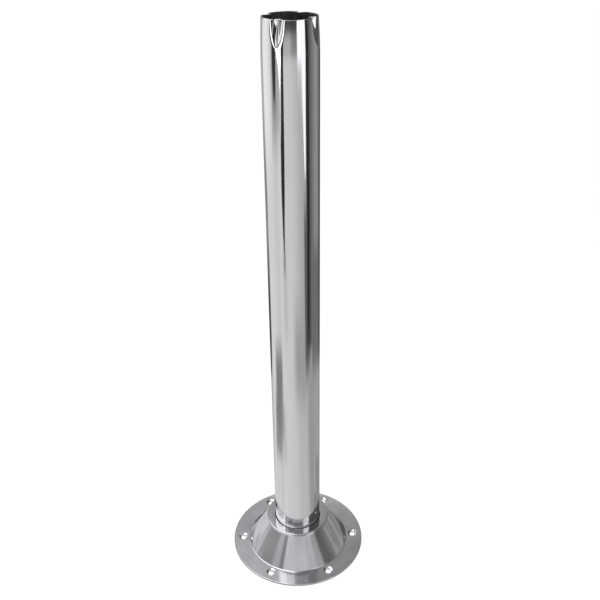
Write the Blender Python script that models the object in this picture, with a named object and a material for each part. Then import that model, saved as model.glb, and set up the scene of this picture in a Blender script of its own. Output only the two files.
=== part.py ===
"""A removable pedestal table leg standing in its screw-down floor base. Metres, +Z up.

The origin is on the leg's axis, on the floor, under the middle of the base.
An azimuth is measured from -Y towards +X.
"""
import bmesh
import bpy
from math import acos, cos, pi, radians, sin, sqrt, tan
from mathutils import Vector

# Leg: a round tube whose two ends are alike, each drawn in to a slight curved taper and crimped.
LEG_RADIUS = 0.028575
LEG_WALL = 0.0015
LEG_LENGTH = 0.6477
LEG_FOOT_HEIGHT = 0.0118
TAPER_LENGTH = 0.045
TAPER_DROP = 0.001275

# Crimps: V-shaped dents that start at the rim and narrow to a point. The shoulder and the bottom
# are the shares of the half width over which the V's edges and its valley are rounded.
CRIMP_COUNT = 4
CRIMP_AZIMUTH = radians(-27.5)
CRIMP_LENGTH = 0.025
CRIMP_DEPTH = 0.006
CRIMP_HALF_WIDTH = 0.009
CRIMP_SHOULDER = 0.7
CRIMP_BOTTOM = 0.25
CRIMP_SECTIONS = 8
TAPER_SECTIONS = 3

# Base shell: flat flange, cone and turned-in top, pressed from one sheet.
BASE_RADIUS = 0.08415
FLANGE_THICKNESS = 0.0027
CONE_FOOT_RADIUS = 0.0633
CONE_TOP_RADIUS = 0.0389
SHELL_HEIGHT = 0.039
SHELL_WALL = 0.0022

# Screw holes in the flange, countersunk at 90 degrees.
HOLE_COUNT = 6
HOLE_FIRST_AZIMUTH = radians(30)
HOLE_CIRCLE_RADIUS = 0.0722
HOLE_RADIUS = 0.0034
COUNTERSINK_RADIUS = 0.00575
CUTTER_MARGIN = 0.001

# Socket sleeve: a tapered tube hung in the shell's top by its lip and locked by a bead below.
SLEEVE_TOP = 0.0413
SLEEVE_BOTTOM = 0.004
SLEEVE_WALL = 0.002
LIP_RADIUS = 0.0394
LIP_THICKNESS = 0.002
BEAD_RADIUS = 0.0322
BEAD_HEIGHT = 0.002

FIT_GAP = 0.0003
ROUND_STEPS = 72
HOLE_STEPS = 24
FILLET_STEPS = 3
MERGE_DISTANCE = 0.000001
SHARP_ANGLE = radians(35)


def metal(name, colour, roughness):
    """A bare metal with one colour and one roughness."""
    material = bpy.data.materials.new(name)
    material.use_nodes = True
    shader = material.node_tree.nodes["Principled BSDF"]
    shader.inputs["Base Color"].default_value = (*colour, 1)
    shader.inputs["Metallic"].default_value = 1
    shader.inputs["Roughness"].default_value = roughness
    return material


def add_object(name, bm, material=None):
    """Put a bmesh into the scene as a named object."""
    mesh = bpy.data.meshes.new(name)
    bm.to_mesh(mesh)
    bm.free()
    piece = bpy.data.objects.new(name, mesh)
    bpy.context.collection.objects.link(piece)
    if material:
        mesh.materials.append(material)
    mesh.shade_smooth()
    mesh.set_sharp_from_angle(angle=SHARP_ANGLE)
    return piece


def direction(azimuth):
    """The level unit vector at an azimuth."""
    return Vector((sin(azimuth), -cos(azimuth), 0))


def rounded_outline(corners):
    """Turn (radius, height, fillet radius) corners into a closed outline with round corners."""
    outline = []
    for index, (radius, height, fillet) in enumerate(corners):
        here = Vector((radius, height))
        if not fillet:
            outline.append(here)
            continue
        before = (Vector(corners[index - 1][:2]) - here).normalized()
        after = (Vector(corners[(index + 1) % len(corners)][:2]) - here).normalized()
        half_angle = acos(before.dot(after)) / 2
        centre = here + (before + after).normalized() * fillet / sin(half_angle)
        start = here + before * fillet / tan(half_angle) - centre
        end = here + after * fillet / tan(half_angle) - centre
        for step in range(FILLET_STEPS + 1):
            outline.append(centre + start.lerp(end, step / FILLET_STEPS).normalized() * fillet)
    return outline


def turned_piece(name, corners, material):
    """Turn an outline about the Z axis. The outline runs down the outer side."""
    bm = bmesh.new()
    verts = [bm.verts.new((point.x, 0, point.y)) for point in rounded_outline(corners)]
    for vert, following in zip(verts, verts[1:] + verts[:1]):
        bm.edges.new((vert, following))
    piece = add_object(name, bm, material)
    screw = piece.modifiers.new("Turn", "SCREW")
    screw.steps = ROUND_STEPS
    screw.render_steps = ROUND_STEPS
    screw.use_merge_vertices = True
    screw.merge_threshold = MERGE_DISTANCE
    return piece


# ---- Leg ------------------------------------------------------------------------------------

def leg_end_radius(from_end):
    """The tube's outer radius at a distance from its nearer end, crimps left out."""
    return LEG_RADIUS - TAPER_DROP * max(0, 1 - from_end / TAPER_LENGTH) ** 2


def soft_ramp(value, reach):
    """0 below 0, then a line of slope 1 that is eased in over a reach."""
    if value <= 0:
        return 0
    return value - reach / 2 if value > reach else value * value / (2 * reach)


def crimp_dent(azimuth, from_end):
    """How far the nearest crimp pushes the tube's wall in."""
    reach = from_end / CRIMP_LENGTH
    if reach >= 1:
        return 0
    pitch = 2 * pi / CRIMP_COUNT
    turn = (azimuth - CRIMP_AZIMUTH + pitch / 2) % pitch - pitch / 2
    across = abs(turn) * LEG_RADIUS / (CRIMP_HALF_WIDTH * sqrt(1 - reach ** 3))
    if across >= 1:
        return 0
    profile = soft_ramp(1 - across, CRIMP_SHOULDER) - soft_ramp(CRIMP_BOTTOM - across, CRIMP_BOTTOM)
    return CRIMP_DEPTH * (1 - reach) * profile / (1 - CRIMP_SHOULDER / 2 - CRIMP_BOTTOM / 2)


def leg_section(height):
    """The tube's outer outline at a height above its lower end."""
    from_end = min(height, LEG_LENGTH - height)
    outline = []
    for step in range(ROUND_STEPS):
        azimuth = CRIMP_AZIMUTH + 2 * pi * step / ROUND_STEPS
        radius = leg_end_radius(from_end) - crimp_dent(azimuth, from_end)
        outline.append(direction(azimuth) * radius + Vector((0, 0, height)))
    return outline


def wall_inset(outline):
    """The same outline moved inwards by the wall's thickness, square to itself."""
    inset = []
    for index, point in enumerate(outline):
        along = outline[(index + 1) % len(outline)] - outline[index - 1]
        inset.append(point + Vector((-along.y, along.x, 0)).normalized() * LEG_WALL)
    return inset


def leg_heights():
    """Heights of the tube's sections, close together in the crimps and none along the middle."""
    crimps = [CRIMP_LENGTH * step / CRIMP_SECTIONS for step in range(CRIMP_SECTIONS + 1)]
    rest = TAPER_LENGTH - CRIMP_LENGTH
    taper = [CRIMP_LENGTH + rest * step / TAPER_SECTIONS for step in range(1, TAPER_SECTIONS + 1)]
    near_end = crimps + taper
    return near_end + [LEG_LENGTH - height for height in reversed(near_end)]


def leg_tube():
    """The crimped tube. Its origin is on its axis, at its lower end."""
    outer = [leg_section(height) for height in leg_heights()]
    inner = [wall_inset(outline) for outline in outer]
    bm = bmesh.new()
    rings = [[bm.verts.new(point) for point in outline] for outline in outer + inner[::-1]]
    for ring, following in zip(rings, rings[1:] + rings[:1]):
        for side in range(ROUND_STEPS):
            after = (side + 1) % ROUND_STEPS
            bm.faces.new((ring[side], ring[after], following[after], following[side]))
    piece = add_object("leg_tube", bm, metal("chrome", (0.78, 0.78, 0.79), 0.07))
    piece.location.z = LEG_FOOT_HEIGHT
    return piece


# ---- Base -----------------------------------------------------------------------------------

def sleeve_bore(height):
    """The socket's bore radius: a straight taper, closest to the leg's curve halfway down it."""
    halfway = (SLEEVE_TOP - LEG_FOOT_HEIGHT) / 2
    slope = 2 * TAPER_DROP / TAPER_LENGTH * (1 - halfway / TAPER_LENGTH)
    return leg_end_radius(halfway) + FIT_GAP + (height - LEG_FOOT_HEIGHT - halfway) * slope


def sleeve_outside(height):
    """The sleeve's outer radius at a height above the floor."""
    return sleeve_bore(height) + SLEEVE_WALL


def cone_radius(height):
    """The cone's outer radius at a height above the floor."""
    rise = (height - FLANGE_THICKNESS) / (SHELL_HEIGHT - FLANGE_THICKNESS)
    return CONE_FOOT_RADIUS + (CONE_TOP_RADIUS - CONE_FOOT_RADIUS) * rise


def cone_underside_radius(height):
    """The cone's inner radius at a height above the floor."""
    run = CONE_FOOT_RADIUS - CONE_TOP_RADIUS
    rise = SHELL_HEIGHT - FLANGE_THICKNESS
    return cone_radius(height) - SHELL_WALL * sqrt(run ** 2 + rise ** 2) / rise


def screw_hole_cutters():
    """The spaces of the six countersunk holes, as one guide object."""
    top = FLANGE_THICKNESS + CUTTER_MARGIN
    sink_foot = FLANGE_THICKNESS - (COUNTERSINK_RADIUS - HOLE_RADIUS)
    outline = [(0, top), (COUNTERSINK_RADIUS + CUTTER_MARGIN, top), (HOLE_RADIUS, sink_foot),
               (HOLE_RADIUS, -CUTTER_MARGIN), (0, -CUTTER_MARGIN)]
    bm = bmesh.new()
    for number in range(HOLE_COUNT):
        azimuth = HOLE_FIRST_AZIMUTH + 2 * pi * number / HOLE_COUNT
        centre = direction(azimuth) * HOLE_CIRCLE_RADIUS
        verts = [bm.verts.new(centre + Vector((radius, 0, height))) for radius, height in outline]
        edges = [bm.edges.new(pair) for pair in zip(verts, verts[1:])]
        bmesh.ops.spin(bm, geom=verts + edges, cent=centre, axis=(0, 0, 1), angle=2 * pi,
                       steps=HOLE_STEPS, use_merge=True)
    bmesh.ops.remove_doubles(bm, verts=bm.verts, dist=MERGE_DISTANCE)
    bmesh.ops.recalc_face_normals(bm, faces=bm.faces)
    cutter = add_object("screw_hole_cutters", bm)
    cutter.hide_render = True
    cutter.display_type = "WIRE"
    return cutter


def base_flange():
    """Flange, cone and turned-in top of the base, with its six screw holes."""
    opening = sleeve_outside(SHELL_HEIGHT) + FIT_GAP
    underside = SHELL_HEIGHT - SHELL_WALL
    corners = [
        (opening, SHELL_HEIGHT, 0),
        (CONE_TOP_RADIUS, SHELL_HEIGHT, 0.002),
        (CONE_FOOT_RADIUS, FLANGE_THICKNESS, 0.0015),
        (BASE_RADIUS, FLANGE_THICKNESS, 0.0005),
        (BASE_RADIUS, 0, 0.0004),
        (cone_underside_radius(0), 0, 0.002),
        (cone_underside_radius(underside), underside, 0.001),
        (opening, underside, 0),
    ]
    piece = turned_piece("base_flange", corners, metal("aluminium", (0.70, 0.70, 0.69), 0.2))
    cut = piece.modifiers.new("Screw holes", "BOOLEAN")
    cut.operation = "DIFFERENCE"
    cut.solver = "EXACT"
    cut.object = screw_hole_cutters()
    return piece


def socket_sleeve():
    """The tapered socket: flat lip on top, locking bead under the shell's turned-in top."""
    lip_underside = SLEEVE_TOP - LIP_THICKNESS
    bead_top = SHELL_HEIGHT - SHELL_WALL - FIT_GAP
    bead_foot = bead_top - BEAD_HEIGHT
    corners = [
        (sleeve_bore(SLEEVE_TOP), SLEEVE_TOP, 0.0008),
        (LIP_RADIUS, SLEEVE_TOP, 0.001),
        (LIP_RADIUS, lip_underside, 0.0006),
        (sleeve_outside(lip_underside), lip_underside, 0),
        (sleeve_outside(bead_top), bead_top, 0),
        (BEAD_RADIUS, bead_top, 0.0007),
        (BEAD_RADIUS, bead_foot, 0.0007),
        (sleeve_outside(bead_foot), bead_foot - BEAD_HEIGHT, 0),
        (sleeve_outside(SLEEVE_BOTTOM), SLEEVE_BOTTOM, 0),
        (sleeve_bore(SLEEVE_BOTTOM), SLEEVE_BOTTOM, 0),
    ]
    return turned_piece("socket_sleeve", corners, metal("sleeve_metal", (0.72, 0.72, 0.72), 0.15))


def main():
    for existing in list(bpy.data.objects):
        bpy.data.objects.remove(existing)
    pedestal = bpy.data.objects.new("pedestal", None)
    bpy.context.collection.objects.link(pedestal)
    for piece in (base_flange(), socket_sleeve(), leg_tube()):
        piece.parent = pedestal


main()
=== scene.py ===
"""The looks of a removable pedestal table leg and its screw-down floor base. Metres, +Z up.

An azimuth is measured from -Y towards +X, as in the CAD.
"""

from math import acos, cos, pi, radians, sin, sqrt, tan

import bmesh
import bpy
from mathutils import Matrix, Vector

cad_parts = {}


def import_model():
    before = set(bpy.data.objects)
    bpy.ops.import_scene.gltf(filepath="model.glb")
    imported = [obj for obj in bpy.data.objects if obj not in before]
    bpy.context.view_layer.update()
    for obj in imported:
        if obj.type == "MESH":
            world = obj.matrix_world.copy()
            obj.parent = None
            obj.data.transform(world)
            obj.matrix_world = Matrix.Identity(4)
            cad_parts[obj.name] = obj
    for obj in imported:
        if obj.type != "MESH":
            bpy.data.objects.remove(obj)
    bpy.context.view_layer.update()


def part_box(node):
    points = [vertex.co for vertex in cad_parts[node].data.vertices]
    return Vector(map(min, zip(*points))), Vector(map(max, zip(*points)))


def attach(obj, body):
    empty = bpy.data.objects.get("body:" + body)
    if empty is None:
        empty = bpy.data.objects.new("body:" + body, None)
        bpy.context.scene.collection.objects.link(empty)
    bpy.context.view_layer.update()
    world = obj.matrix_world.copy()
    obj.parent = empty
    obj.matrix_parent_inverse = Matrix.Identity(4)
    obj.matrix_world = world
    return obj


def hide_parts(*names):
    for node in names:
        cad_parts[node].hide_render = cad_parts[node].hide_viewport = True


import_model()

# ---- Sizes that the CAD frame gives ---------------------------------------------------------

leg_low, leg_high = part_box("leg_tube")
_, shell_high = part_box("base_flange")
sleeve_low, sleeve_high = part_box("socket_sleeve")
LEG_FOOT_HEIGHT = leg_low.z
LEG_LENGTH = leg_high.z - leg_low.z
BASE_RADIUS = shell_high.x
SHELL_HEIGHT = shell_high.z
LIP_RADIUS = sleeve_high.x
SLEEVE_TOP = sleeve_high.z
SLEEVE_BOTTOM = sleeve_low.z

# ---- Sizes that repeat the CAD --------------------------------------------------------------

LEG_RADIUS = 0.028575
LEG_WALL = 0.0015
TAPER_LENGTH = 0.045
TAPER_DROP = 0.001275
CRIMP_COUNT = 4
CRIMP_AZIMUTH = radians(-27.5)
CRIMP_LENGTH = 0.025
CRIMP_DEPTH = 0.006
CRIMP_HALF_WIDTH = 0.009
CRIMP_SHOULDER = 0.7
CRIMP_BOTTOM = 0.25

FLANGE_THICKNESS = 0.0027
CONE_FOOT_RADIUS = 0.0633
CONE_TOP_RADIUS = 0.0389
SHELL_WALL = 0.0022
HOLE_COUNT = 6
HOLE_FIRST_AZIMUTH = radians(30)
HOLE_CIRCLE_RADIUS = 0.0722
HOLE_RADIUS = 0.0034
COUNTERSINK_RADIUS = 0.00575

SLEEVE_WALL = 0.002
LIP_THICKNESS = 0.002
BEAD_RADIUS = 0.0322
BEAD_HEIGHT = 0.002
FIT_GAP = 0.0003

# ---- Fine detail that only the looks have ---------------------------------------------------

LEG_STEPS = 360
CRIMP_ROWS = 34
TAPER_ROWS = 6
MIDDLE_ROWS = 16
RIM_ROWS = 4
TURNED_STEPS = 288
HOLE_STEPS = 72
FILLET_STEPS = 8
RIM_ROUNDING = 0.00025
HOLE_EDGE = 0.0001
CUTTER_MARGIN = 0.001
SHELL_TOP_FILLET = 0.002
SHELL_TOP_INNER_FILLET = 0.001
CONE_FOOT_FILLET = 0.0015
CONE_FOOT_INNER_FILLET = 0.002
FLANGE_TOP_FILLET = 0.0005
FLANGE_FOOT_FILLET = 0.0004
LIP_OUTER_FILLET = 0.001
LIP_UNDER_FILLET = 0.0006
SOCKET_MOUTH_FILLET = 0.0008
BEAD_FILLET = 0.0007
WELD_AZIMUTH = radians(-160)
WELD_HEIGHT = 0.00035
WELD_HALF_WIDTH = 0.0012
MERGE_DISTANCE = 0.000001
SHARP_ANGLE = radians(30)
UNDERSIDE_TILT = -0.3
UNDERSIDE_MARGIN = 0.0005

# ---- Metals: a darker colour, a lighter colour, and the lowest and highest roughness --------

CHROME = ((0.573, 0.577, 0.592, 1), (0.598, 0.600, 0.609, 1), 0.045, 0.085)
BORE_STEEL = ((0.040, 0.041, 0.045, 1), (0.095, 0.090, 0.086, 1), 0.38, 0.62)
BASE_METAL = ((0.506, 0.503, 0.526, 1), (0.581, 0.577, 0.603, 1), 0.09, 0.135)
SLEEVE_METAL = ((0.499, 0.496, 0.518, 1), (0.554, 0.551, 0.575, 1), 0.08, 0.13)
RAW_METAL = ((0.42, 0.42, 0.41, 1), (0.60, 0.60, 0.59, 1), 0.36, 0.52)
BORE_METALLIC = 0.35
HAIRLINE_ROUGHNESS = 0.06
SCRATCH_ROUGHNESS = 0.08
TURNED_MARK_DRIFT = 0.0012

# ---- Camera ---------------------------------------------------------------------------------

CAMERA_DISTANCE = 0.7725
CAMERA_AZIMUTH = radians(-1.135)
CAMERA_HEIGHT = 0.7791
CAMERA_PITCH = radians(28.625)
CAMERA_HEADING = radians(1.612)
CAMERA_ROLL = radians(-0.697)
CAMERA_LENS = 47.38

# ---- Floor, light and room that the camera sees ---------------------------------------------

FLOOR_HALF_SIZE = 60
FLOOR_GLOW_LEVEL = 0.95
FLOOR_MATT = (0.12, 0.12, 0.12, 1)
ROOM_LEVEL = 0.45
WHITE = (1, 1, 1, 1)
LIGHT_AIM = (0, 0, 0.2)

# (name, place, size, power).
SOFT_LIGHTS = [
    ("key", (-1.2, -0.6, 2.2), 1.6, 22),
    ("fill", (1.6, -1.4, 1.6), 1.4, 8),
]

# ---- Studio, as the polished metal mirrors it -----------------------------------------------

STUDIO_RADIUS = 9.5
AZIMUTH_STEPS = 480
FLOOR_RINGS = 70
DOME_RINGS = 180
CONTACT_START = 0.0843
CONTACT_END = 0.0862
FLOOR_START = 0.0868
FLOOR_CARD_HEIGHT = 0.001
CONTACT_SHADE = 0.15
CONTACT_FRONT = 0.75
CONTACT_FRONT_AZIMUTHS = (-60, 60)
CONTACT_FRONT_EDGE = 30
LANE_HEIGHT = 0.002
NEAREST_EDGE = 0.0001

# (azimuth, glow) all round the floor, from behind the object and back to it.
FLOOR_GLOW = [(-180, 0.10), (-162, 0.28), (-150, 0.42), (-140, 0.62), (-128, 1.02), (-108, 1.02),
              (-92, 1.03), (-80, 0.95), (-67, 0.93), (-55, 1.03), (-43, 1.00), (-31, 0.97),
              (-7, 0.93), (5, 0.88), (17, 0.80), (29, 0.70), (42, 0.64), (54, 0.56), (61, 0.12),
              (70, 0.08), (79, 0.19), (94, 0.32), (110, 0.44), (126, 0.36), (142, 0.12), (180, 0.10)]

# (glow, azimuths, edge width in degrees, distances, edge width as a share of the distance).
FLOOR_PATCHES = [
    (0.78, (20, 50), 14, (0.0, 0.34), 0.12),
    (0.73, (46, 58), 8, (0.0, 0.40), 0.14),
    (0.65, (58, 69), 8, (0.0, 0.44), 0.10),
    (0.53, (60, 180), 10, (0.0, 0.44), 0.22),
    (0.42, (128, 180), 14, (0.0, 0.44), 0.22),
    (0.50, (69, 84), 8, (0.0, 0.51), 0.06),
    (0.56, (-180, -138), 8, (0.0, 0.39), 0.05),
    (0.85, (-138, -124), 8, (0.0, 0.43), 0.10),
    (0.93, (-124, -94), 10, (0.0, 0.24), 0.10),
    (0.70, (-150, -88), 12, (0.0, 0.091), 0.03),
    (0.15, (78, 180), 14, (0.0, 0.092), 0.04),
    (0.36, (84, 112), 10, (0.0, 0.115), 0.08),
    (0.38, (102, 136), 8, (0.10, 0.19), 0.10),
    (0.18, (-172, -131), 8, (0.45, 0.95), 0.12),
    (0.04, (-174, -141), 6, (0.40, 0.75), 0.05),
    (0.32, (-172, -131), 8, (0.95, 1.60), 0.25),
    (0.45, (-110, -70), 12, (0.205, 0.36), 0.15),
    (0.34, (-100, -62), 12, (0.27, 0.51), 0.14),
    (0.82, (-66, -46), 10, (0.20, 0.34), 0.20),
    (0.50, (-72, -59), 6, (0.25, 0.345), 0.08),
    (0.54, (-1, 50), 26, (0.37, 0.66), 0.28),
    (0.84, (-48, -29), 8, (0.55, 0.95), 0.15),
    (0.42, (-43.5, -35), 3, (0.83, 0.97), 0.04),
    (0.16, (46, 60), 8, (0.44, 1.20), 0.15),
    (0.24, (86, 132), 10, (0.45, 0.95), 0.12),
    (0.10, (132, 180), 10, (0.45, 0.95), 0.12),
    (1.14, (-106, -84), 8, (1.7, 12.0), 0.30),
    (0.78, (-85, -58), 8, (1.62, 12.0), 0.10),
    (0.57, (-80, -59), 5, (1.86, 12.0), 0.06),
    (0.38, (-78, -60), 5, (2.12, 12.0), 0.06),
    (0.62, (-60, -47), 6, (1.9, 3.6), 0.12),
    (1.28, (-132, -100), 8, (1.6, 12.0), 0.40),
    (0.62, (-172, -148), 8, (2.0, 12.0), 0.30),
    (0.68, (-30, 2), 10, (3.7, 12.0), 0.08),
    (0.42, (0, 26), 10, (3.7, 12.0), 0.15),
    (0.34, (10, 26), 8, (4.4, 12.0), 0.15),
    (0.10, (-33, 26), 8, (7.2, 12.0), 0.28),
    (1.10, (40, 57.5), 6, (2.15, 12.0), 0.16),
    (1.75, (25, 58), 4, (3.12, 12.0), 0.30),
]

# (azimuth, glow) all round the walls and the ceiling.
DOME_GLOW = [(-180, 0.54), (-176, 0.54), (-150, 0.64), (-118, 0.64), (-104, 0.50), (-92, 0.45),
             (-80, 0.44), (-66, 0.42), (-60, 0.48), (-54, 0.70), (-48, 0.66), (-36, 0.80),
             (-29, 0.96), (-13, 0.87), (0, 0.70), (15, 0.59), (29, 0.52), (43, 0.55), (51, 0.54),
             (57, 0.19), (69, 0.20), (81, 0.27), (93, 0.36), (105, 0.40), (150, 0.40), (172, 0.47),
             (178, 0.52), (180, 0.54)]

# (glow, azimuths, edge width, elevations, edge width), all in degrees.
DOME_PATCHES = [
    (0.34, (-43, -34.5), 3, (13, 31), 3),
    (0.90, (-24, 22), 10, (20.8, 27), 1.6),
    (0.74, (20, 38), 6, (19.5, 27), 1.6),
    (0.42, (-12, 60), 8, (26, 38), 4),
    (2.40, (-160, -104), 8, (38, 44.4), 1.2),
    (3.40, (-104, -70), 8, (38, 44.4), 1.2),
    (0.90, (-70, -48), 5, (38, 44.4), 1.2),
    (0.52, (-48, 22), 6, (38, 44.4), 1.2),
    (1.30, (25, 51), 5, (38, 44.4), 1.2),
    (0.18, (56, 160), 6, (38, 44.4), 1.2),
    (2.50, (-160, -73), 6, (44.4, 47), 0.6),
    (1.10, (-73, -52), 4, (44.4, 47), 0.6),
    (0.50, (-52, 25), 6, (44.4, 45.8), 0.6),
    (0.12, (-52, 25), 6, (45.8, 47), 0.6),
    (2.80, (27, 57), 5, (44.4, 47), 0.6),
    (0.10, (60, 160), 6, (44.4, 47), 0.6),
    (2.30, (-150, -70), 6, (47, 57), 0.6),
    (1.70, (-70, -24), 8, (47, 57), 0.6),
    (0.66, (-24, 60), 8, (47, 57), 0.6),
    (0.44, (60, 150), 8, (47, 57), 0.6),
    (0.74, (-190, -165), 6, (45, 57), 3),
    (0.40, (165, 190), 6, (45.5, 57), 3),
    (1.40, (-44, -12), 12, (57, 86), 4),
    (3.30, (-150, -40), 12, (57, 86), 4),
    (0.52, (-12, 60), 12, (57, 86), 4),
    (0.36, (60, 150), 8, (57, 86), 4),
    (3.90, (-68, -24), 8, (55.5, 64.8), 1.5),
    (1.25, (-14, 16), 8, (56, 65), 2),
    (1.00, (-180, 180), 1, (86, 100), 6),
    (0.92, (-106, -88), 6, (-10, 4.5), 2),
    (0.74, (-90, -75), 5, (-10, 7.5), 2),
    (0.52, (-74, -62), 4, (-10, 11.5), 1),
    (0.52, (76, 96), 5, (-10, 7.5), 1.5),
    (0.07, (-31, 25), 3, (-10, 6), 3),
    (3.00, (-58, -43), 2, (-10, 12), 2),
    (0.05, (-42, -33), 2, (-10, 14), 2),
    (0.04, (-76, -63), 2, (-10, 2), 2),
    (3.00, (27, 56), 2, (-10, 8), 2),
    (0.04, (57, 72), 2, (-10, 8), 2),
    (0.12, (145, 190), 3, (-10, 20), 4),
    (0.20, (118, 150), 6, (8, 26), 4),
    (0.75, (150, 190), 6, (27, 40), 4),
    (0.50, (-131, -115), 5, (5, 15), 4),
    (1.15, (-190, -140), 6, (16, 38), 4),
]

# Bright and dark strips that lie on the floor: (name, glow, (distance, first azimuth, second
# azimuth) stations).
FLOOR_LANES = [
    ("left_white_lane", 3.0, [(2.55, -45, -43), (2.9, -48, -40), (3.2, -51, -39), (3.6, -54, -38.5),
                              (4.3, -57, -38.5), (9.0, -59, -38.5)]),
    ("left_dark_lane", 0.04, [(0.94, -41, -38), (1.1, -44.5, -35.5), (1.36, -46.5, -32.5),
                              (1.71, -46, -31), (2.06, -42.5, -30), (2.36, -40.5, -29.5),
                              (2.8, -39.5, -29.3), (3.4, -38.5, -28.8), (9.0, -38, -26)]),
    ("far_left_dark_lane", 0.05, [(2.3, -73, -66), (2.8, -76, -61), (9.0, -76, -60)]),
    ("right_white_lane", 1.65, [(1.45, 51, 54.5), (1.6, 49, 56), (1.9, 46.5, 56.5), (2.16, 45.7, 56.5),
                                (2.45, 44.5, 56.5), (2.87, 42.5, 56.5), (9.0, 41, 56.5)]),
    ("right_dark_lane", 0.03, [(0.52, 57, 62), (0.70, 58, 68), (1.2, 61, 72), (3.3, 59, 71),
                               (9.0, 58, 70)]),
]

# Softboxes and dark flags that stand round the object, from about the height of the leg's top
# to well above it: (name, azimuths, (height, glow) levels).
UPRIGHT_DISTANCE = 1.2
UPRIGHT_STEPS = 24
UPRIGHTS = [
    ("left_softbox", (-124, -78), [(0.57, 1.4), (1.14, 1.5)]),
    ("front_flag", (-50, 26), [(0.73, 0.03), (0.93, 0.05), (0.945, 1.60), (1.00, 1.60), (1.012, 0.05),
                               (1.08, 0.05), (1.09, 0.40)]),
    ("right_softbox", (31, 57), [(0.58, 1.6), (1.14, 1.8)]),
    ("right_flag", (61, 150), [(0.58, 0.08), (1.14, 0.20)]),
    ("back_left_flag", (-165, -128), [(0.53, 0.03), (1.08, 0.03)]),
]


def direction(azimuth):
    """The level unit vector at an azimuth."""
    return Vector((sin(azimuth), -cos(azimuth), 0))


# ---- Mesh helpers ---------------------------------------------------------------------------

def ring_mesh(name, rings, materials):
    """A closed skin through a loop of rings, all in the first material."""
    bm = bmesh.new()
    verts = [[bm.verts.new(point) for point in ring] for ring in rings]
    for index, ring in enumerate(verts):
        following = verts[(index + 1) % len(verts)]
        for side in range(len(ring)):
            after = (side + 1) % len(ring)
            face = bm.faces.new((ring[side], ring[after], following[after], following[side]))
            face.smooth = True
    mesh = bpy.data.meshes.new(name)
    bm.to_mesh(mesh)
    bm.free()
    for material in materials:
        mesh.materials.append(material)
    piece = bpy.data.objects.new(name, mesh)
    bpy.context.scene.collection.objects.link(piece)
    return piece


def settle(piece):
    """Apply a piece's modifiers and crease its true edges."""
    evaluated = piece.evaluated_get(bpy.context.evaluated_depsgraph_get())
    mesh = bpy.data.meshes.new_from_object(evaluated)
    piece.modifiers.clear()
    piece.data = mesh
    mesh.shade_smooth()
    mesh.set_sharp_from_angle(angle=SHARP_ANGLE)


def rounded_outline(corners):
    """Turn (radius, height, fillet radius) corners into outline points with round corners."""
    outline = []
    for index, (radius, height, fillet) in enumerate(corners):
        here = Vector((radius, height))
        if not fillet:
            outline.append(here)
            continue
        before = (Vector(corners[index - 1][:2]) - here).normalized()
        after = (Vector(corners[(index + 1) % len(corners)][:2]) - here).normalized()
        half_angle = acos(before.dot(after)) / 2
        centre = here + (before + after).normalized() * fillet / sin(half_angle)
        start = here + before * fillet / tan(half_angle) - centre
        end = here + after * fillet / tan(half_angle) - centre
        for step in range(FILLET_STEPS + 1):
            outline.append(centre + start.lerp(end, step / FILLET_STEPS).normalized() * fillet)
    return outline


def turned_rings(outline):
    """Rings of points round the Z axis, one for each outline point."""
    steps = [2 * pi * step / TURNED_STEPS for step in range(TURNED_STEPS)]
    return [[direction(azimuth) * point.x + Vector((0, 0, point.y)) for azimuth in reversed(steps)]
            for point in outline]


# ---- Materials ------------------------------------------------------------------------------

def start_material(name):
    """A new node material: its tree and its Principled shader."""
    material = bpy.data.materials.new(name)
    material.use_nodes = True
    return material, material.node_tree, material.node_tree.nodes["Principled BSDF"]


def add_node(tree, kind, inputs=None, **settings):
    """Add a node. An input is a value, or the output socket that feeds it."""
    node = tree.nodes.new(kind)
    for key, value in settings.items():
        setattr(node, key, value)
    for key, value in (inputs or {}).items():
        if isinstance(value, bpy.types.NodeSocket):
            tree.links.new(value, node.inputs[key])
        else:
            node.inputs[key].default_value = value
    return node


def scaled_place(tree, scale):
    """The object's own coordinates, stretched by a scale."""
    place = add_node(tree, "ShaderNodeTexCoord").outputs["Object"]
    return add_node(tree, "ShaderNodeMapping", {"Vector": place, "Scale": scale}).outputs["Vector"]


def noise(tree, vector, scale, detail=3.0, roughness=0.5):
    """A noise between 0 and 1."""
    values = {"Vector": vector, "Scale": scale, "Detail": detail, "Roughness": roughness}
    return add_node(tree, "ShaderNodeTexNoise", values).outputs["Fac"]


def spread(tree, value, source, target):
    """Map a value from one (low, high) range to another, and hold it there."""
    values = {"Value": value, "From Min": source[0], "From Max": source[1],
              "To Min": target[0], "To Max": target[1]}
    return add_node(tree, "ShaderNodeMapRange", values).outputs["Result"]


def combine(tree, operation, first, second):
    """One arithmetic step on two values."""
    return add_node(tree, "ShaderNodeMath", {0: first, 1: second}, operation=operation).outputs[0]


def blend_colour(tree, share, first, second):
    """A colour between two colours."""
    node = add_node(tree, "ShaderNodeMix", data_type="RGBA")
    for socket, value in zip((node.inputs[0], node.inputs[6], node.inputs[7]), (share, first, second)):
        if isinstance(value, bpy.types.NodeSocket):
            tree.links.new(value, socket)
        else:
            socket.default_value = value
    return node.outputs[2]


def hairlines(tree, vector, scale, width):
    """Thin lines, 1 on a line and 0 off it, where a stretched noise crosses its middle value."""
    level = noise(tree, vector, scale, detail=1.0)
    off_line = combine(tree, "ABSOLUTE", combine(tree, "SUBTRACT", level, 0.5), 0)
    return spread(tree, off_line, (0, width), (1, 0))


def bump(tree, height, depth, normal=None):
    """Tilt the surface by a height map whose full depth is in metres."""
    values = {"Height": height, "Distance": depth, "Strength": 1.0}
    if normal:
        values["Normal"] = normal
    return add_node(tree, "ShaderNodeBump", values).outputs["Normal"]


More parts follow.
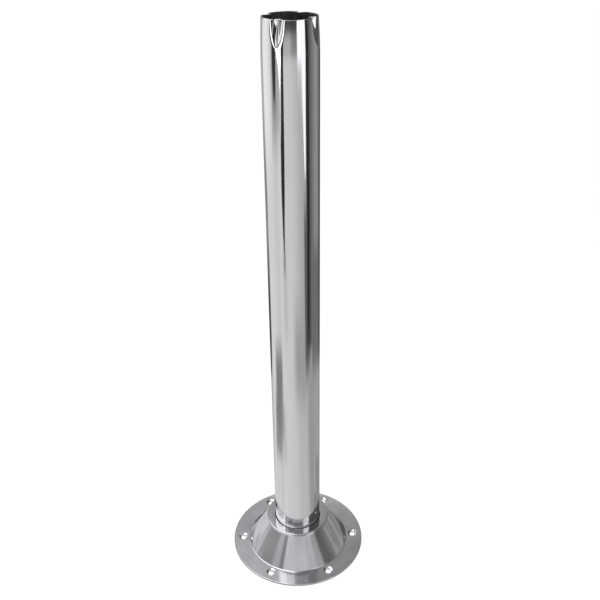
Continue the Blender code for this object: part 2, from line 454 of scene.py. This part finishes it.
def turned_place(tree):
    """Coordinates for turned marks: they change across the outline and hardly round the axis."""
    place = add_node(tree, "ShaderNodeTexCoord").outputs["Object"]
    parts = add_node(tree, "ShaderNodeSeparateXYZ", {"Vector": place})
    level = add_node(tree, "ShaderNodeCombineXYZ", {"X": parts.outputs["X"], "Y": parts.outputs["Y"]})
    radius = add_node(tree, "ShaderNodeVectorMath", {0: level.outputs[0]}, operation="LENGTH")
    turn = combine(tree, "ARCTAN2", parts.outputs["Y"], parts.outputs["X"])
    return add_node(tree, "ShaderNodeCombineXYZ", {
        "X": radius.outputs["Value"],
        "Y": parts.outputs["Z"],
        "Z": combine(tree, "MULTIPLY", combine(tree, "ABSOLUTE", turn, 0), TURNED_MARK_DRIFT),
    }).outputs[0]


def chrome():
    """Bright chrome plate on a drawn tube: faint drawing ripples, hairlines along it and wiping smears."""
    dark, light, rough_low, rough_high = CHROME
    material, tree, shader = start_material("leg_chrome_plate")
    smear = noise(tree, scaled_place(tree, (1, 1, 0.25)), scale=38, detail=4)
    lines = hairlines(tree, scaled_place(tree, (1, 1, 0.02)), scale=900, width=0.02)
    colour = blend_colour(tree, spread(tree, smear, (0.35, 0.65), (0, 1)), dark, light)
    tree.links.new(colour, shader.inputs["Base Color"])
    shader.inputs["Metallic"].default_value = 1
    rough = spread(tree, smear, (0.3, 0.7), (rough_low, rough_high))
    rough = combine(tree, "ADD", rough, combine(tree, "MULTIPLY", lines, HAIRLINE_ROUGHNESS))
    tree.links.new(rough, shader.inputs["Roughness"])
    ripple = noise(tree, scaled_place(tree, (1, 1, 0.3)), scale=60, detail=1)
    normal = bump(tree, ripple, depth=0.00003)
    normal = bump(tree, lines, depth=0.0000008, normal=normal)
    tree.links.new(normal, shader.inputs["Normal"])
    return material


def bore_steel():
    """Very dark unplated steel inside the tube: a darker and lighter mottle, with lighter scuffs and light
    rust freckles.
    """
    dark, light, rough_low, rough_high = BORE_STEEL
    material, tree, shader = start_material("leg_bore_steel")
    bore_mottle = noise(tree, scaled_place(tree, (1, 1, 0.3)), scale=160, detail=5, roughness=0.6)
    scuff = noise(tree, scaled_place(tree, (1, 1, 0.05)), scale=420, detail=3)
    colour = blend_colour(tree, spread(tree, bore_mottle, (0.35, 0.7), (0, 1)), dark, light)
    tree.links.new(colour, shader.inputs["Base Color"])
    shader.inputs["Metallic"].default_value = BORE_METALLIC
    rough = spread(tree, scuff, (0.3, 0.7), (rough_low, rough_high))
    tree.links.new(rough, shader.inputs["Roughness"])
    tree.links.new(bump(tree, bore_mottle, depth=0.00006), shader.inputs["Normal"])
    return material


def turned_aluminium(name, metal):
    """Spun and polished aluminium: fine marks round the axis, a soft haze and a few scratches."""
    dark, light, rough_low, rough_high = metal
    material, tree, shader = start_material(name)
    place = turned_place(tree)
    marks = noise(tree, place, scale=2600, detail=2)
    bands = noise(tree, place, scale=420, detail=2)
    haze = noise(tree, scaled_place(tree, (1, 1, 1)), scale=45, detail=4)
    scratches = hairlines(tree, scaled_place(tree, (1, 0.35, 1)), scale=160, width=0.004)
    colour = blend_colour(tree, spread(tree, haze, (0.35, 0.65), (0, 1)), dark, light)
    tree.links.new(colour, shader.inputs["Base Color"])
    shader.inputs["Metallic"].default_value = 1
    half_bands = combine(tree, "MULTIPLY", bands, 0.5)
    half_haze = combine(tree, "MULTIPLY", haze, 0.5)
    polish = combine(tree, "ADD", half_bands, half_haze)
    rough = spread(tree, polish, (0.35, 0.65), (rough_low, rough_high))
    rough = combine(tree, "ADD", rough, combine(tree, "MULTIPLY", scratches, SCRATCH_ROUGHNESS))
    tree.links.new(rough, shader.inputs["Roughness"])
    normal = bump(tree, bands, depth=0.000006)
    normal = bump(tree, marks, depth=0.0000012, normal=normal)
    normal = bump(tree, scratches, depth=0.000002, normal=normal)
    tree.links.new(normal, shader.inputs["Normal"])
    return material


def raw_aluminium():
    """The unpolished underside: dull rolled sheet with a mottled oxide."""
    dark, light, rough_low, rough_high = RAW_METAL
    material, tree, shader = start_material("base_raw_underside")
    mottle = noise(tree, scaled_place(tree, (1, 1, 1)), scale=70, detail=5, roughness=0.6)
    grain = noise(tree, turned_place(tree), scale=1500, detail=2)
    colour = blend_colour(tree, spread(tree, mottle, (0.35, 0.65), (0, 1)), dark, light)
    tree.links.new(colour, shader.inputs["Base Color"])
    shader.inputs["Metallic"].default_value = 1
    rough = spread(tree, mottle, (0.3, 0.7), (rough_low, rough_high))
    tree.links.new(rough, shader.inputs["Roughness"])
    tree.links.new(bump(tree, grain, depth=0.000004), shader.inputs["Normal"])
    return material


# ---- Leg ------------------------------------------------------------------------------------

def leg_end_radius(from_end):
    """The tube's outer radius at a distance from its nearer end, crimps left out."""
    return LEG_RADIUS - TAPER_DROP * max(0, 1 - from_end / TAPER_LENGTH) ** 2


def soft_ramp(value, reach):
    """0 below 0, then a line of slope 1 that is eased in over a reach."""
    if value <= 0:
        return 0
    return value - reach / 2 if value > reach else value * value / (2 * reach)


def crimp_dent(azimuth, from_end):
    """How far the nearest crimp pushes the tube's wall in: a V with round shoulders and a round bottom."""
    reach = from_end / CRIMP_LENGTH
    if reach >= 1:
        return 0
    pitch = 2 * pi / CRIMP_COUNT
    turn = (azimuth - CRIMP_AZIMUTH + pitch / 2) % pitch - pitch / 2
    across = abs(turn) * LEG_RADIUS / (CRIMP_HALF_WIDTH * sqrt(1 - reach ** 3))
    if across >= 1:
        return 0
    profile = soft_ramp(1 - across, CRIMP_SHOULDER) - soft_ramp(CRIMP_BOTTOM - across, CRIMP_BOTTOM)
    return CRIMP_DEPTH * (1 - reach) * profile / (1 - CRIMP_SHOULDER / 2 - CRIMP_BOTTOM / 2)


def leg_section(height, inset):
    """The tube's outline at a height above its lower end, moved inwards square to itself."""
    from_end = min(height, LEG_LENGTH - height)
    azimuths = [CRIMP_AZIMUTH + 2 * pi * step / LEG_STEPS for step in range(LEG_STEPS)]
    outline = []
    for azimuth in azimuths:
        radius = leg_end_radius(from_end) - crimp_dent(azimuth, from_end)
        outline.append(direction(azimuth) * radius)
    lift = Vector((0, 0, LEG_FOOT_HEIGHT + height))
    section = []
    for index, point in enumerate(outline):
        along = outline[(index + 1) % LEG_STEPS] - outline[index - 1]
        inwards = Vector((-along.y, along.x, 0)).normalized()
        section.append(point + inwards * (inset + weld_bead(azimuths[index], inset)) + lift)
    return section


def weld_bead(azimuth, inset):
    """Height of the seam's bead on the inside of the wall."""
    turn = (azimuth - WELD_AZIMUTH + pi) % (2 * pi) - pi
    across = turn * (LEG_RADIUS - LEG_WALL) / WELD_HALF_WIDTH
    if inset < LEG_WALL or abs(across) > 1:
        return 0
    return WELD_HEIGHT * cos(pi * across / 2) ** 2


def leg_rows():
    """(height, inset) rows up the outside, over the top rim, down the bore and under the lower rim."""
    lower = [RIM_ROUNDING + (CRIMP_LENGTH - RIM_ROUNDING) * step / CRIMP_ROWS
             for step in range(CRIMP_ROWS + 1)]
    lower += [CRIMP_LENGTH + (TAPER_LENGTH - CRIMP_LENGTH) * step / TAPER_ROWS
              for step in range(1, TAPER_ROWS + 1)]
    span = LEG_LENGTH - 2 * TAPER_LENGTH
    middle = [TAPER_LENGTH + span * step / MIDDLE_ROWS for step in range(1, MIDDLE_ROWS)]
    heights = lower + middle + [LEG_LENGTH - height for height in reversed(lower)]
    outside = [(height, 0) for height in heights]
    inside = [(height, LEG_WALL) for height in reversed(heights)]
    corner = [radians(90) * step / RIM_ROWS for step in range(1, RIM_ROWS + 1)]
    rise = [(RIM_ROUNDING * (1 - sin(turn)), RIM_ROUNDING * (1 - cos(turn))) for turn in corner]
    top = [(LEG_LENGTH - down, inset) for down, inset in rise]
    top += [(height, LEG_WALL - inset) for height, inset in reversed(top)]
    bottom = [(LEG_LENGTH - height, LEG_WALL - inset) for height, inset in top]
    return outside, top, inside, bottom


def leg():
    """The chromed tube with its crimped ends and its bare bore."""
    outside, top, inside, bottom = leg_rows()
    rings = [leg_section(height, inset) for height, inset in outside + top + inside + bottom]
    piece = ring_mesh("chrome_leg", rings, [chrome(), bore_steel()])
    first_bare = (len(outside) + len(top) - 1) * LEG_STEPS
    last_bare = (len(outside) + len(top) + len(inside)) * LEG_STEPS
    for face in piece.data.polygons[first_bare:last_bare]:
        face.material_index = 1
    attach(piece, "leg")
    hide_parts("leg_tube")


# ---- Base -----------------------------------------------------------------------------------

def sleeve_bore(height):
    """The socket's bore radius: a straight taper, closest to the leg's curve halfway down it."""
    halfway = (SLEEVE_TOP - LEG_FOOT_HEIGHT) / 2
    slope = 2 * TAPER_DROP / TAPER_LENGTH * (1 - halfway / TAPER_LENGTH)
    return leg_end_radius(halfway) + FIT_GAP + (height - LEG_FOOT_HEIGHT - halfway) * slope


def sleeve_outside(height):
    """The sleeve's outer radius at a height above the floor."""
    return sleeve_bore(height) + SLEEVE_WALL


def cone_radius(height):
    """The cone's outer radius at a height above the floor."""
    rise = (height - FLANGE_THICKNESS) / (SHELL_HEIGHT - FLANGE_THICKNESS)
    return CONE_FOOT_RADIUS + (CONE_TOP_RADIUS - CONE_FOOT_RADIUS) * rise


def cone_underside_radius(height):
    """The cone's inner radius at a height above the floor."""
    run = CONE_FOOT_RADIUS - CONE_TOP_RADIUS
    rise = SHELL_HEIGHT - FLANGE_THICKNESS
    return cone_radius(height) - SHELL_WALL * sqrt(run ** 2 + rise ** 2) / rise


def hole_cutter():
    """The spaces of the countersunk holes, each with a slightly broken upper edge."""
    top = FLANGE_THICKNESS + CUTTER_MARGIN
    sink_foot = FLANGE_THICKNESS - (COUNTERSINK_RADIUS - HOLE_RADIUS)
    outline = [(0, top),
               (COUNTERSINK_RADIUS + 2 * HOLE_EDGE, top),
               (COUNTERSINK_RADIUS + 2 * HOLE_EDGE, FLANGE_THICKNESS),
               (COUNTERSINK_RADIUS - HOLE_EDGE, FLANGE_THICKNESS - HOLE_EDGE),
               (HOLE_RADIUS, sink_foot),
               (HOLE_RADIUS, -CUTTER_MARGIN),
               (0, -CUTTER_MARGIN)]
    bm = bmesh.new()
    for number in range(HOLE_COUNT):
        azimuth = HOLE_FIRST_AZIMUTH + 2 * pi * number / HOLE_COUNT
        centre = direction(azimuth) * HOLE_CIRCLE_RADIUS
        verts = [bm.verts.new(centre + Vector((radius, 0, height))) for radius, height in outline]
        edges = [bm.edges.new(pair) for pair in zip(verts, verts[1:])]
        bmesh.ops.spin(bm, geom=verts + edges, cent=centre, axis=(0, 0, 1), angle=2 * pi,
                       steps=HOLE_STEPS, use_merge=True)
    bmesh.ops.remove_doubles(bm, verts=bm.verts, dist=MERGE_DISTANCE)
    bmesh.ops.recalc_face_normals(bm, faces=bm.faces)
    mesh = bpy.data.meshes.new("hole_cutter")
    bm.to_mesh(mesh)
    bm.free()
    cutter = bpy.data.objects.new("hole_cutter", mesh)
    bpy.context.scene.collection.objects.link(cutter)
    return cutter


def shell():
    """The base's pressed shell: flange, cone and turned-in top."""
    opening = sleeve_outside(SHELL_HEIGHT) + FIT_GAP
    underside = SHELL_HEIGHT - SHELL_WALL
    outline = rounded_outline([
        (cone_underside_radius(underside), underside, SHELL_TOP_INNER_FILLET),
        (opening, underside, 0),
        (opening, SHELL_HEIGHT, 0),
        (CONE_TOP_RADIUS, SHELL_HEIGHT, SHELL_TOP_FILLET),
        (CONE_FOOT_RADIUS, FLANGE_THICKNESS, CONE_FOOT_FILLET),
        (BASE_RADIUS, FLANGE_THICKNESS, FLANGE_TOP_FILLET),
        (BASE_RADIUS, 0, FLANGE_FOOT_FILLET),
        (cone_underside_radius(0), 0, CONE_FOOT_INNER_FILLET),
    ])
    metals = [turned_aluminium("base_turned_aluminium", BASE_METAL), raw_aluminium()]
    piece = ring_mesh("base_shell", turned_rings(outline), metals)
    for face in piece.data.polygons:
        facing_down = face.normal.z < UNDERSIDE_TILT
        facing_axis = face.normal.to_2d().dot(face.center.to_2d()) < 0
        inside_cone = facing_axis and face.center.z < underside + UNDERSIDE_MARGIN
        face.material_index = 1 if facing_down or inside_cone else 0
    cutter = hole_cutter()
    cut = piece.modifiers.new("Screw holes", "BOOLEAN")
    cut.operation = "DIFFERENCE"
    cut.solver = "EXACT"
    cut.object = cutter
    settle(piece)
    bpy.data.objects.remove(cutter)
    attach(piece, "base")
    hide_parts("base_flange")


def sleeve():
    """The tapered socket with its rolled lip."""
    lip_underside = SLEEVE_TOP - LIP_THICKNESS
    bead_top = SHELL_HEIGHT - SHELL_WALL - FIT_GAP
    bead_foot = bead_top - BEAD_HEIGHT
    outline = rounded_outline([
        (sleeve_bore(SLEEVE_TOP), SLEEVE_TOP, SOCKET_MOUTH_FILLET),
        (LIP_RADIUS, SLEEVE_TOP, LIP_OUTER_FILLET),
        (LIP_RADIUS, lip_underside, LIP_UNDER_FILLET),
        (sleeve_outside(lip_underside), lip_underside, 0),
        (sleeve_outside(bead_top), bead_top, 0),
        (BEAD_RADIUS, bead_top, BEAD_FILLET),
        (BEAD_RADIUS, bead_foot, BEAD_FILLET),
        (sleeve_outside(bead_foot), bead_foot - BEAD_HEIGHT, 0),
        (sleeve_outside(SLEEVE_BOTTOM), SLEEVE_BOTTOM, 0),
        (sleeve_bore(SLEEVE_BOTTOM), SLEEVE_BOTTOM, 0),
    ])
    metal = turned_aluminium("sleeve_turned_aluminium", SLEEVE_METAL)
    piece = ring_mesh("lipped_sleeve", turned_rings(outline), [metal])
    settle(piece)
    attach(piece, "base")
    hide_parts("socket_sleeve")


# ---- Studio ---------------------------------------------------------------------------------

def glow_material(name):
    """A card's own light, read from its mesh so that it can fade across the card."""
    material = bpy.data.materials.new(name)
    material.use_nodes = True
    tree = material.node_tree
    tree.nodes.clear()
    level = add_node(tree, "ShaderNodeAttribute", attribute_name="glow")
    light = add_node(tree, "ShaderNodeEmission", {"Color": WHITE, "Strength": level.outputs["Fac"]})
    add_node(tree, "ShaderNodeOutputMaterial", {"Surface": light.outputs[0]})
    return material


def seen_in_metal_only(piece):
    """A studio card that shows in reflections and nowhere else."""
    piece.visible_camera = False
    piece.visible_diffuse = False
    piece.visible_transmission = False
    piece.visible_volume_scatter = False
    piece.visible_shadow = False


def card(name, material, rows):
    """A card from rows of (point, glow): neighbouring rows are joined by faces."""
    points = [point for row in rows for point, _ in row]
    width = len(rows[0])
    faces = [(r * width + c, r * width + c + 1, (r + 1) * width + c + 1, (r + 1) * width + c)
             for r in range(len(rows) - 1) for c in range(width - 1)]
    mesh = bpy.data.meshes.new(name)
    mesh.from_pydata(points, [], faces)
    glow = mesh.attributes.new("glow", "FLOAT", "POINT")
    glow.data.foreach_set("value", [value for row in rows for _, value in row])
    mesh.materials.append(material)
    piece = bpy.data.objects.new(name, mesh)
    bpy.context.scene.collection.objects.link(piece)
    seen_in_metal_only(piece)


def floor_lane(name, material, glow, stations):
    """A flat card on the floor through (distance, first azimuth, second azimuth) stations."""
    rows = []
    for distance, first, second in stations:
        rows.append([(direction(radians(azimuth)) * distance + Vector((0, 0, LANE_HEIGHT)), glow)
                     for azimuth in (first, second)])
    card(name, material, rows)


def eased(value, start, end):
    """0 before the start, 1 after the end, and smooth between them."""
    share = min(1, max(0, (value - start) / (end - start)))
    return share * share * (3 - 2 * share)


def inside(value, limits, edge):
    """1 between two limits and 0 outside them, with edges of a width."""
    low, high = limits
    rise = eased(value, low - edge / 2, low + edge / 2)
    return rise - eased(value, high - edge / 2, high + edge / 2)


def base_glow(knots, azimuth):
    """The glow between (azimuth, glow) knots."""
    for (first, start), (second, end) in zip(knots, knots[1:]):
        if first <= azimuth <= second:
            return start + (end - start) * eased(azimuth, first, second)


def mirror_floor(material):
    """The floor as the metal sees it: its base glow with each patch laid over it."""
    rows = []
    open_floor = [FLOOR_START * (STUDIO_RADIUS / FLOOR_START) ** (ring / FLOOR_RINGS)
                  for ring in range(FLOOR_RINGS + 1)]
    for distance in [CONTACT_START, CONTACT_END] + open_floor:
        row = []
        for step in range(AZIMUTH_STEPS + 1):
            azimuth = -180 + 360 * step / AZIMUTH_STEPS
            glow = base_glow(FLOOR_GLOW, azimuth)
            for patch, azimuths, turn_edge, distances, edge in FLOOR_PATCHES:
                cover = inside(azimuth, azimuths, turn_edge)
                near, far = distances
                cover *= eased(distance, near * (1 - edge), near * (1 + edge) + NEAREST_EDGE)
                cover *= 1 - eased(distance, far * (1 - edge), far * (1 + edge))
                glow += (patch - glow) * cover
            if distance < FLOOR_START:
                front = inside(azimuth, CONTACT_FRONT_AZIMUTHS, CONTACT_FRONT_EDGE)
                glow *= CONTACT_SHADE + (CONTACT_FRONT - CONTACT_SHADE) * front
            point = direction(radians(azimuth)) * distance + Vector((0, 0, FLOOR_CARD_HEIGHT))
            row.append((point, glow))
        rows.append(row)
    card("mirror_floor", material, rows)


def mirror_dome(material):
    """The walls and the ceiling as the metal sees them: a half ball with softboxes and dark flags."""
    rows = []
    for ring in range(DOME_RINGS + 1):
        elevation = 90 * ring / DOME_RINGS
        row = []
        for step in range(AZIMUTH_STEPS + 1):
            azimuth = -180 + 360 * step / AZIMUTH_STEPS
            glow = base_glow(DOME_GLOW, azimuth)
            for patch, azimuths, turn_edge, elevations, edge in DOME_PATCHES:
                cover = inside(azimuth, azimuths, turn_edge) * inside(elevation, elevations, edge)
                glow += (patch - glow) * cover
            out = direction(radians(azimuth)) * cos(radians(elevation))
            row.append(((out + Vector((0, 0, sin(radians(elevation))))) * STUDIO_RADIUS, glow))
        rows.append(row)
    card("mirror_dome", material, rows)


def upright(name, material, azimuths, levels):
    """An upright curved card close to the object, through (height, glow) levels."""
    rows = []
    for height, glow in levels:
        row = []
        for step in range(UPRIGHT_STEPS + 1):
            azimuth = azimuths[0] + (azimuths[1] - azimuths[0]) * step / UPRIGHT_STEPS
            point = direction(radians(azimuth)) * UPRIGHT_DISTANCE + Vector((0, 0, height))
            row.append((point, glow))
        rows.append(row)
    card(name, material, rows)


def cards():
    """Everything that the polished metal mirrors."""
    glow = glow_material("studio_card")
    mirror_floor(glow)
    mirror_dome(glow)
    for name, azimuths, levels in UPRIGHTS:
        upright(name, glow, azimuths, levels)
    for name, level, stations in FLOOR_LANES:
        floor_lane(name, glow, level, stations)


def floor():
    """The pale floor that the camera sees. From below it is clear, so that the underside shows."""
    mesh = bpy.data.meshes.new("floor")
    half = FLOOR_HALF_SIZE
    corners = [(-half, -half, 0), (half, -half, 0), (half, half, 0), (-half, half, 0)]
    mesh.from_pydata(corners, [], [(0, 1, 2, 3)])
    material = bpy.data.materials.new("pale_floor")
    material.use_nodes = True
    tree = material.node_tree
    tree.nodes.clear()
    glow = add_node(tree, "ShaderNodeEmission", {"Color": WHITE, "Strength": FLOOR_GLOW_LEVEL})
    matt = add_node(tree, "ShaderNodeBsdfDiffuse", {"Color": FLOOR_MATT})
    both = add_node(tree, "ShaderNodeAddShader", {0: glow.outputs[0], 1: matt.outputs[0]})
    clear = add_node(tree, "ShaderNodeBsdfTransparent")
    side = add_node(tree, "ShaderNodeNewGeometry").outputs["Backfacing"]
    mix = add_node(tree, "ShaderNodeMixShader", {0: side, 1: both.outputs[0], 2: clear.outputs[0]})
    add_node(tree, "ShaderNodeOutputMaterial", {"Surface": mix.outputs[0]})
    mesh.materials.append(material)
    piece = bpy.data.objects.new("floor", mesh)
    bpy.context.scene.collection.objects.link(piece)
    piece.visible_glossy = False


def softbox_light(name, place, size, power):
    """A soft area light aimed at the object. The metal mirrors the cards and not this."""
    data = bpy.data.lights.new(name, "AREA")
    data.shape = "SQUARE"
    data.size = size
    data.energy = power
    light = bpy.data.objects.new(name, data)
    bpy.context.scene.collection.objects.link(light)
    light.location = place
    light.rotation_mode = "QUATERNION"
    aim = Vector(LIGHT_AIM) - Vector(place)
    light.rotation_quaternion = aim.to_track_quat("-Z", "Y")
    light.visible_glossy = False
    light.visible_camera = False


def world():
    """White beyond the floor for the camera, and a dim room for everything else."""
    made = bpy.data.worlds.new("studio")
    bpy.context.scene.world = made
    made.use_nodes = True
    tree = made.node_tree
    tree.nodes.clear()
    path = add_node(tree, "ShaderNodeLightPath").outputs["Is Camera Ray"]
    white = add_node(tree, "ShaderNodeBackground", {"Color": WHITE, "Strength": 1.0})
    dim = add_node(tree, "ShaderNodeBackground", {"Color": WHITE, "Strength": ROOM_LEVEL})
    mix = add_node(tree, "ShaderNodeMixShader", {0: path, 1: dim.outputs[0], 2: white.outputs[0]})
    add_node(tree, "ShaderNodeOutputWorld", {"Surface": mix.outputs[0]})


def camera():
    """The camera, from slightly above the top of the leg."""
    data = bpy.data.cameras.new("camera")
    data.lens = CAMERA_LENS
    piece = bpy.data.objects.new("camera", data)
    bpy.context.scene.collection.objects.link(piece)
    turn = (Matrix.Rotation(-CAMERA_HEADING, 4, "Z") @ Matrix.Rotation(pi / 2 - CAMERA_PITCH, 4, "X")
            @ Matrix.Rotation(CAMERA_ROLL, 4, "Z"))
    place = direction(CAMERA_AZIMUTH) * CAMERA_DISTANCE + Vector((0, 0, CAMERA_HEIGHT))
    piece.matrix_world = Matrix.Translation(place) @ turn
    bpy.context.scene.camera = piece


def studio():
    """Camera, floor, lights and cards."""
    camera()
    floor()
    cards()
    world()
    for name, place, size, power in SOFT_LIGHTS:
        softbox_light(name, place, size, power)
    bpy.context.scene.view_settings.view_transform = "Standard"


studio()
leg()
shell()
sleeve()
